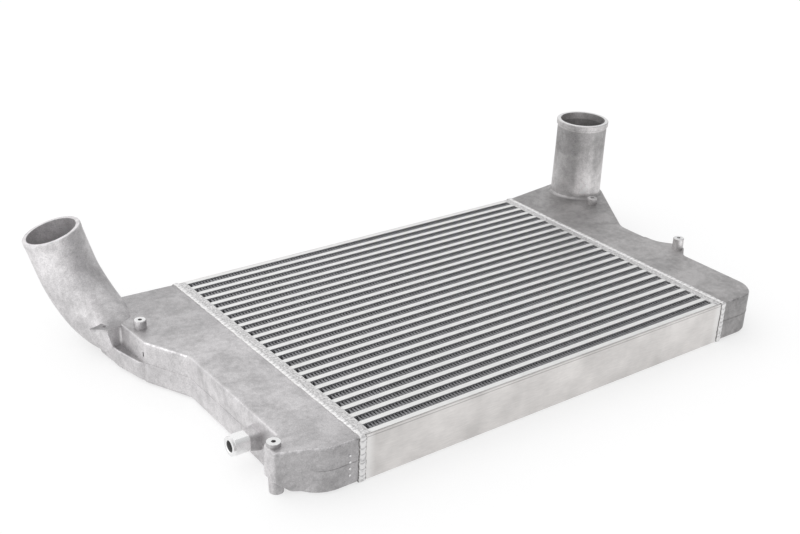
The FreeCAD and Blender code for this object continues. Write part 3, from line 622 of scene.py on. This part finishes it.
def rolledFoil():
    # thin rolled foil, folded and brazed: satin grey, dull with dust in patches, a little darker at its cut edge and
    # lighter deeper down, as painted shade and painted light
    material, tree = newMaterial("rolledFoil")
    place = addNode(tree, "ShaderNodeTexCoord").outputs["Object"]
    height = addNode(tree, "ShaderNodeSeparateXYZ", {"Vector": place}).outputs["Z"]
    middle = addNode(tree, "ShaderNodeMath", {0: height, 1: core["height"] / 2}, operation="SUBTRACT")
    away = addNode(tree, "ShaderNodeMath", {0: middle}, operation="ABSOLUTE")
    tip = core["height"] / 2 - fins["recess"]
    fine = addNode(tree, "ShaderNodeTexNoise", {"Vector": place, "Scale": perSize(fins["dustSize"]), "Detail": 3.0})
    dull = addNode(tree, "ShaderNodeMapRange", {"Value": fine, fromSpan: noiseSpan, toSpan: fins["dustTone"]})
    # painted shade and light down the foil
    tone = addNode(tree, "ShaderNodeMix", {
        "Factor": narrowed(tree, 1.0, (away, (tip - fins["edgeDepth"], tip))),
        6: hexColour(fins["inside"]), 7: hexColour(fins["edge"])}, data_type="RGBA")
    surface = addNode(tree, "ShaderNodeNewGeometry").outputs
    turn = addNode(tree, "ShaderNodeSeparateXYZ", {"Vector": surface["True Normal"]}).outputs
    across = addNode(tree, "ShaderNodeMath", {0: turn["Y"]}, operation="ABSOLUTE")
    lit = addNode(tree, "ShaderNodeMapRange", {"Value": turn["Y"], fromSpan: fins["wallTurn"], toSpan: fins["walls"]})
    walls = addNode(tree, "ShaderNodeVectorMath", {0: tone.outputs[2], "Scale": lit}, operation="SCALE")
    # painted light on the lands
    mixed = addNode(tree, "ShaderNodeMix", {
        "Factor": narrowed(tree, 1.0, (across, fins["landTurn"])), 6: walls, 7: hexColour(fins["land"])},
        data_type="RGBA")
    skin = addNode(tree, "ShaderNodeVectorMath", {0: mixed.outputs[2], "Scale": dull}, operation="SCALE")
    finishMetal(tree, skin, fins["roughness"])
    return material


def finTree(material):
    tree, given, names = newTree("foldedFoil", {
        "Waves": "Int", "Wave": "Float", "Crest": "Float", "Height": "Float", "Foil": "Float", "Depth": "Float",
        "Rows": "Int", "Pitch": "Float", "Middle Z": "Float", "Wander": "Float", "Seed": "Float"})

    # four points a wave: both ends of the land on each side
    points = addNode(tree, "ShaderNodeMath", {0: given["Waves"], 1: 4.0, 2: 1.0}, operation="MULTIPLY_ADD")
    line = addNode(tree, "GeometryNodeMeshLine", {"Count": points})
    index = addNode(tree, "GeometryNodeInputIndex")
    corner = addNode(tree, "ShaderNodeMath", {0: index, 1: 4.0}, operation="MODULO")
    halved = addNode(tree, "ShaderNodeMath", {0: index, 1: 2.0}, operation="DIVIDE")
    half = addNode(tree, "ShaderNodeMath", {0: halved}, operation="FLOOR")
    second = addNode(tree, "ShaderNodeMath", {0: index, 1: 2.0}, operation="MODULO")
    signed = addNode(tree, "ShaderNodeMath", {0: second, 1: 0.5}, operation="SUBTRACT")
    land = addNode(tree, "ShaderNodeMath", {0: signed, 1: given["Crest"]}, operation="MULTIPLY")
    halfWave = addNode(tree, "ShaderNodeMath", {0: given["Wave"], 1: 0.5}, operation="MULTIPLY")
    along = addNode(tree, "ShaderNodeMath", {0: half, 1: halfWave, 2: land}, operation="MULTIPLY_ADD")
    length = addNode(tree, "ShaderNodeMath", {0: given["Waves"], 1: halfWave}, operation="MULTIPLY")
    centred = addNode(tree, "ShaderNodeMath", {0: along, 1: length}, operation="SUBTRACT")
    rear = addNode(tree, "ShaderNodeMath", {0: corner, 1: 1.5}, operation="GREATER_THAN")
    side = addNode(tree, "ShaderNodeMath", {0: rear, 1: 0.5}, operation="SUBTRACT")
    swing = addNode(tree, "ShaderNodeMath", {0: given["Height"], 1: given["Foil"]}, operation="SUBTRACT")
    across = addNode(tree, "ShaderNodeMath", {0: side, 1: swing}, operation="MULTIPLY")
    spot = addNode(tree, "ShaderNodeCombineXYZ", {"X": centred, "Y": across})
    folded = addNode(tree, "GeometryNodeSetPosition", {"Geometry": line, "Position": spot})
    curve = addNode(tree, "GeometryNodeMeshToCurve", {"Mesh": folded})
    upright = addNode(tree, "GeometryNodeSetCurveNormal", {"Curve": curve}, mode="Z_UP")
    strip = addNode(tree, "GeometryNodeCurvePrimitiveQuadrilateral", {
        "Width": given["Foil"], "Height": given["Depth"]})
    foil = addNode(tree, "GeometryNodeCurveToMesh", {"Curve": upright, "Profile Curve": strip, "Fill Caps": True})

    # one foil for each row of the core
    count = addNode(tree, "ShaderNodeMath", {0: given["Rows"], 1: 1.0}, operation="SUBTRACT")
    span = addNode(tree, "ShaderNodeMath", {0: count, 1: given["Pitch"]}, operation="MULTIPLY")
    front = addNode(tree, "ShaderNodeMath", {0: span, 1: -0.5}, operation="MULTIPLY")
    first = addNode(tree, "ShaderNodeCombineXYZ", {"Y": front, "Z": given["Middle Z"]})
    stride = addNode(tree, "ShaderNodeCombineXYZ", {"Y": given["Pitch"]})
    rows = addNode(tree, "GeometryNodeMeshLine", {"Count": given["Rows"], "Start Location": first, "Offset": stride})
    placed = addNode(tree, "GeometryNodeInstanceOnPoints", {"Points": rows, "Instance": foil})
    real = addNode(tree, "GeometryNodeRealizeInstances", {"Geometry": placed})

    # folds are never quite even: they wander along the row, differently in each
    where = addNode(tree, "GeometryNodeInputPosition")
    flat = addNode(tree, "ShaderNodeVectorMath", {0: where, 1: (1.0, fins["rowsApart"], 0.0)}, operation="MULTIPLY")
    noise = addNode(tree, "ShaderNodeTexNoise", {
        "Vector": flat, "W": given["Seed"], "Scale": perSize(fins["wanderSize"]), "Detail": 2.0},
        noise_dimensions="4D")
    lean = addNode(tree, "ShaderNodeMath", {0: noise, 1: 0.5}, operation="SUBTRACT")
    twice = addNode(tree, "ShaderNodeMath", {0: given["Wander"], 1: 2.0}, operation="MULTIPLY")
    shift = addNode(tree, "ShaderNodeMath", {0: lean, 1: twice}, operation="MULTIPLY")
    drift = addNode(tree, "ShaderNodeCombineXYZ", {"X": shift})
    moved = addNode(tree, "GeometryNodeSetPosition", {"Geometry": real, "Offset": drift})
    painted = addNode(tree, "GeometryNodeSetMaterial", {"Geometry": moved, "Material": material})
    addNode(tree, "NodeGroupOutput", {"Geometry": painted})
    return tree, names


def buildFins():
    tree, names = finTree(rolledFoil())
    length = core["finLength"] - 2 * fins["endGap"]
    waves = int(length / fins["wave"])
    item = bakedObject("airFins", tree, names, {
        "Waves": waves,
        "Wave": (length - fins["crest"]) / waves,
        "Crest": fins["crest"],
        "Height": core["finHeight"],
        "Foil": fins["foil"],
        "Depth": core["height"] - 2 * fins["recess"],
        "Rows": core["rows"],
        "Pitch": core["rowPitch"],
        "Middle Z": core["height"] / 2,
        "Wander": fins["wander"],
        "Seed": fins["seed"],
    })
    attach(item, "root")
    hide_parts(*["fin_row_%02d" % n for n in range(1, core["rows"] + 1)])
    print("air fins:", len(item.data.polygons), "faces", [round(v, 4) for v in item.dimensions])


# Weld beads between the tanks and the core

weld = {
    "topWidth": 6.0 * mm,
    "frontWidth": 9.5 * mm,
    "crown": 0.74 * mm,         # highest point of the bead, before its ripples
    "ripple": 0.75 * mm,
    "rippleStep": 6.8 * mm,     # one dab of filler to the next
    "crescent": 3.2 * mm,       # how far a ripple's middle runs ahead of its ends
    "looseness": 2.5,           # how far the dabs stray from an even beat, in steps
    "sink": 0.8 * mm,           # below the faces it joins
    "cornerRadius": 1.6 * mm,
    "cornerPoints": 5,
    "wobble": 0.45,             # unevenness of its width
    "wobbleSize": 6.0 * mm,
    "segment": 0.5 * mm,        # length of one mesh face along the bead
    "sectionPoints": 17,        # round the bead, the last on the first
    "merge": 0.01 * mm,
    "colour": "#f6f5f5",
    "scaleSize": 2.4 * mm,      # of the skin's fine scales
    "scaleShare": 0.5,          # how much they change the tone of a dab
    "dabSpan": (0.3, 0.85),
    "topTone": (0.66, 0.92),    # how dark and light the ripples are along the top
    "frontTone": (0.55, 0.88),  # and down the front
    "border": "#716f6e",
    "borderShare": 0.4,         # how ragged it is
    "borderSpan": (0.88, 1.12),
    "topBorder": 0.3,           # how much of it shows along the top
    "bump": {"Strength": 0.6, "Distance": 0.7 * mm},
    "roughness": 0.38,
}


def weldMetal():
    # hand-welded aluminium, as laid: bright and rippled, with a sooty edge where it meets the parts
    material, tree = newMaterial("weldMetal")
    place = addNode(tree, "ShaderNodeTexCoord").outputs["Object"]
    across, upright, dab = [addNode(tree, "ShaderNodeAttribute", attribute_name=label).outputs["Fac"]
                            for label in ("across", "upright", "dab")]
    fine = addNode(tree, "ShaderNodeTexNoise", {"Vector": place, "Scale": perSize(weld["scaleSize"]), "Detail": 4.0})
    ragged = addNode(tree, "ShaderNodeMath", {0: fine, 1: weld["borderShare"], 2: across}, operation="MULTIPLY_ADD")
    strong = addNode(tree, "ShaderNodeMapRange", {"Value": upright, "To Min": weld["topBorder"]})
    scaly = addNode(tree, "ShaderNodeMath", {0: fine, 1: weld["scaleShare"], 2: dab}, operation="MULTIPLY_ADD")
    ends = [addNode(tree, "ShaderNodeMapRange", {"Value": upright, toSpan: tones})
            for tones in zip(weld["topTone"], weld["frontTone"])]       # the darkest and the lightest tone here
    rise = addNode(tree, "ShaderNodeMapRange", {"Value": scaly, fromSpan: weld["dabSpan"], toSpan: ends})
    rippled = addNode(tree, "ShaderNodeVectorMath", {0: hexColour(weld["colour"])[:3], "Scale": rise},
                      operation="SCALE")
    tone = addNode(tree, "ShaderNodeMix", {
        "Factor": narrowed(tree, strong, (ragged, weld["borderSpan"])), 6: rippled, 7: hexColour(weld["border"])},
        data_type="RGBA")
    bump = addNode(tree, "ShaderNodeBump", {"Height": fine, **weld["bump"]})
    finishMetal(tree, tone.outputs[2], weld["roughness"], Normal=bump)
    return material


def weldTree(material):
    tree, given, names = newTree("weldBead", {
        "X": "Float", "Width": "Float", "Height": "Float", "Top Width": "Float", "Front Width": "Float",
        "Crown": "Float", "Ripple": "Float", "Step": "Float", "Crescent": "Float", "Sink": "Float",
        "Corner": "Float", "Wobble": "Float", "Steps": "Int", "Seed": "Float"})

    # the path: once round the core's end
    frameLine = addNode(tree, "GeometryNodeCurvePrimitiveQuadrilateral", {
        "Width": given["Width"], "Height": given["Height"]})
    rounded = addNode(tree, "GeometryNodeFilletCurve", {
        "Curve": frameLine, "Radius": given["Corner"], "Count": weld["cornerPoints"]}, mode="POLY")
    length = addNode(tree, "GeometryNodeCurveLength", {"Curve": rounded})

    # a grid laid along it: x runs along the path, y round the bead's section
    grid = addNode(tree, "GeometryNodeMeshGrid", {
        "Size X": 1.0, "Size Y": 1.0, "Vertices X": given["Steps"], "Vertices Y": weld["sectionPoints"]})
    position = addNode(tree, "GeometryNodeInputPosition")
    where = addNode(tree, "ShaderNodeSeparateXYZ", {"Vector": position}).outputs
    along = addNode(tree, "ShaderNodeMath", {0: where["X"], 1: 0.5}, operation="ADD")
    turned = addNode(tree, "ShaderNodeMath", {0: where["Y"], 1: 2 * math.pi, 2: math.pi}, operation="MULTIPLY_ADD")
    spot = addNode(tree, "GeometryNodeSampleCurve", {"Curves": rounded, "Factor": along}, mode="FACTOR",
                   use_all_curves=True).outputs
    at = addNode(tree, "ShaderNodeSeparateXYZ", {"Vector": spot["Position"]}).outputs
    run = addNode(tree, "ShaderNodeSeparateXYZ", {"Vector": spot["Tangent"]}).outputs
    down = addNode(tree, "ShaderNodeMath", {0: run["X"], 1: -1.0}, operation="MULTIPLY")
    outward = addNode(tree, "ShaderNodeCombineXYZ", {"Y": run["Y"], "Z": down})
    half = addNode(tree, "ShaderNodeMath", {0: given["Height"], 1: 0.5, 2: at["Y"]}, operation="MULTIPLY_ADD")
    path = addNode(tree, "ShaderNodeCombineXYZ", {"X": given["X"], "Y": at["X"], "Z": half})

    # width: narrower along top and bottom, and uneven; the noise runs in a ring so that the loop closes
    distance = addNode(tree, "ShaderNodeMath", {0: along, 1: length}, operation="MULTIPLY")
    turn = addNode(tree, "ShaderNodeMath", {0: along, 1: 2 * math.pi}, operation="MULTIPLY")
    radius = addNode(tree, "ShaderNodeMath", {0: length, 1: 2 * math.pi}, operation="DIVIDE")
    ringX = addNode(tree, "ShaderNodeMath", {0: turn}, operation="COSINE")
    ringY = addNode(tree, "ShaderNodeMath", {0: turn}, operation="SINE")
    ring = addNode(tree, "ShaderNodeCombineXYZ", {"X": ringX, "Y": ringY})
    wide = addNode(tree, "ShaderNodeVectorMath", {0: ring, "Scale": radius}, operation="SCALE")
    layer = addNode(tree, "ShaderNodeCombineXYZ", {"Z": given["Seed"]})
    place = addNode(tree, "ShaderNodeVectorMath", {0: wide, 1: layer}, operation="ADD")
    uneven = addNode(tree, "ShaderNodeTexNoise", {
        "Vector": place, "Scale": perSize(weld["wobbleSize"]), "Detail": 3.0})
    upright = addNode(tree, "ShaderNodeMath", {0: run["Y"]}, operation="ABSOLUTE")
    width = addNode(tree, "ShaderNodeMix", {"Factor": upright, 2: given["Top Width"], 3: given["Front Width"]})
    lean = addNode(tree, "ShaderNodeMath", {0: uneven, 1: 0.5}, operation="SUBTRACT")
    swing = addNode(tree, "ShaderNodeMath", {0: lean, 1: given["Wobble"], 2: 0.5}, operation="MULTIPLY_ADD")
    halfWidth = addNode(tree, "ShaderNodeMath", {0: width, 1: swing}, operation="MULTIPLY")
    cosine = addNode(tree, "ShaderNodeMath", {0: turned}, operation="COSINE")
    across = addNode(tree, "ShaderNodeMath", {0: cosine, 1: halfWidth}, operation="MULTIPLY")

    # height: an oval crown with a whole number of crescent ripples, flat and sunk below
    ratio = addNode(tree, "ShaderNodeMath", {0: length, 1: given["Step"]}, operation="DIVIDE")
    whole = addNode(tree, "ShaderNodeMath", {0: ratio}, operation="ROUND")
    pace = addNode(tree, "ShaderNodeMath", {0: length, 1: whole}, operation="DIVIDE")
    squared = addNode(tree, "ShaderNodeMath", {0: cosine, 1: cosine}, operation="MULTIPLY")
    behind = addNode(tree, "ShaderNodeMath", {0: squared, 1: given["Crescent"], 2: distance},
                     operation="MULTIPLY_ADD")
    loose = addNode(tree, "ShaderNodeMath", {0: given["Step"], 1: weld["looseness"]}, operation="MULTIPLY")
    beat = addNode(tree, "ShaderNodeMath", {0: uneven, 1: loose, 2: behind}, operation="MULTIPLY_ADD")
    dab = addNode(tree, "ShaderNodeMath", {0: beat, 1: pace}, operation="DIVIDE")
    phase = addNode(tree, "ShaderNodeMath", {0: dab, 1: math.pi}, operation="MULTIPLY")
    wave = addNode(tree, "ShaderNodeMath", {0: phase}, operation="SINE")
    scallop = addNode(tree, "ShaderNodeMath", {0: wave}, operation="ABSOLUTE")
    raised = addNode(tree, "ShaderNodeMath", {0: scallop, 1: given["Ripple"], 2: given["Crown"]},
                     operation="MULTIPLY_ADD")
    sine = addNode(tree, "ShaderNodeMath", {0: turned}, operation="SINE")
    above = addNode(tree, "ShaderNodeMath", {0: sine, 1: 0.0}, operation="MAXIMUM")
    below = addNode(tree, "ShaderNodeMath", {0: sine, 1: 0.0}, operation="MINIMUM")
    crown = addNode(tree, "ShaderNodeMath", {0: above, 1: raised}, operation="MULTIPLY")
    lift = addNode(tree, "ShaderNodeMath", {0: below, 1: given["Sink"], 2: crown}, operation="MULTIPLY_ADD")

    offset = addNode(tree, "ShaderNodeVectorMath", {0: outward, "Scale": lift}, operation="SCALE")
    sideways = addNode(tree, "ShaderNodeCombineXYZ", {"X": across})
    first = addNode(tree, "ShaderNodeVectorMath", {0: path, 1: offset}, operation="ADD")
    last = addNode(tree, "ShaderNodeVectorMath", {0: first, 1: sideways}, operation="ADD")
    edge = addNode(tree, "ShaderNodeMath", {0: cosine}, operation="ABSOLUTE")
    for label, value in (("across", edge), ("dab", scallop), ("upright", upright)):
        grid = addNode(tree, "GeometryNodeStoreNamedAttribute", {
            "Geometry": grid, "Name": label, "Value": value}, data_type="FLOAT", domain="POINT")
    laid = addNode(tree, "GeometryNodeSetPosition", {"Geometry": grid, "Position": last})
    closed = addNode(tree, "GeometryNodeMergeByDistance", {"Geometry": laid, "Distance": weld["merge"]})
    outside = addNode(tree, "GeometryNodeFlipFaces", {"Mesh": closed})
    smooth = addNode(tree, "GeometryNodeSetShadeSmooth", {"Geometry": outside, "Shade Smooth": True})
    real = addNode(tree, "GeometryNodeRealizeInstances", {"Geometry": smooth})
    painted = addNode(tree, "GeometryNodeSetMaterial", {"Geometry": real, "Material": material})
    addNode(tree, "NodeGroupOutput", {"Geometry": painted})
    return tree, names


def buildWelds():
    tree, names = weldTree(weldMetal())
    around = 2 * (2 * core["halfWidth"] + core["height"])
    for name, side, seed in (("leftWeld", -1, 1.0), ("rightWeld", 1, 2.0)):
        item = bakedObject(name, tree, names, {
            "X": side * core["halfLength"],
            "Width": 2 * core["halfWidth"],
            "Height": core["height"],
            "Top Width": weld["topWidth"],
            "Front Width": weld["frontWidth"],
            "Crown": weld["crown"],
            "Ripple": weld["ripple"],
            "Step": weld["rippleStep"],
            "Crescent": weld["crescent"],
            "Sink": weld["sink"],
            "Corner": weld["cornerRadius"],
            "Wobble": weld["wobble"],
            "Steps": int(around / weld["segment"]),
            "Seed": seed,
        })
        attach(item, "root")
        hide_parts("left_weld_bead" if side < 0 else "right_weld_bead")
        print(name, len(item.data.polygons), "faces", [round(v, 4) for v in item.dimensions])


buildCamera()
buildLight()
buildFloor(cadBox[0].z)
print("camera, light and floor are in place")

dress("left_tank", castAluminium("sandCastLeft", leftTank))
dress("right_tank", castAluminium("sandCastRight", rightTank))
dress("threaded_port", turnedAluminium())
bar, sheet, plate = brazedBar(), brazedSheet(), rolledPlate()
for piece, finish in (("charge_bars", bar), ("closing_bars", bar), ("parting_sheets", sheet),
                      ("front_side_plate", plate), ("rear_side_plate", plate)):
    dress(piece, finish)
for number in range(1, core["rows"] + 2):
    dress("turbulator_%02d" % number, sheet)
print("finishes are on")

buildFins()
buildWelds()
print("fins and welds are built")
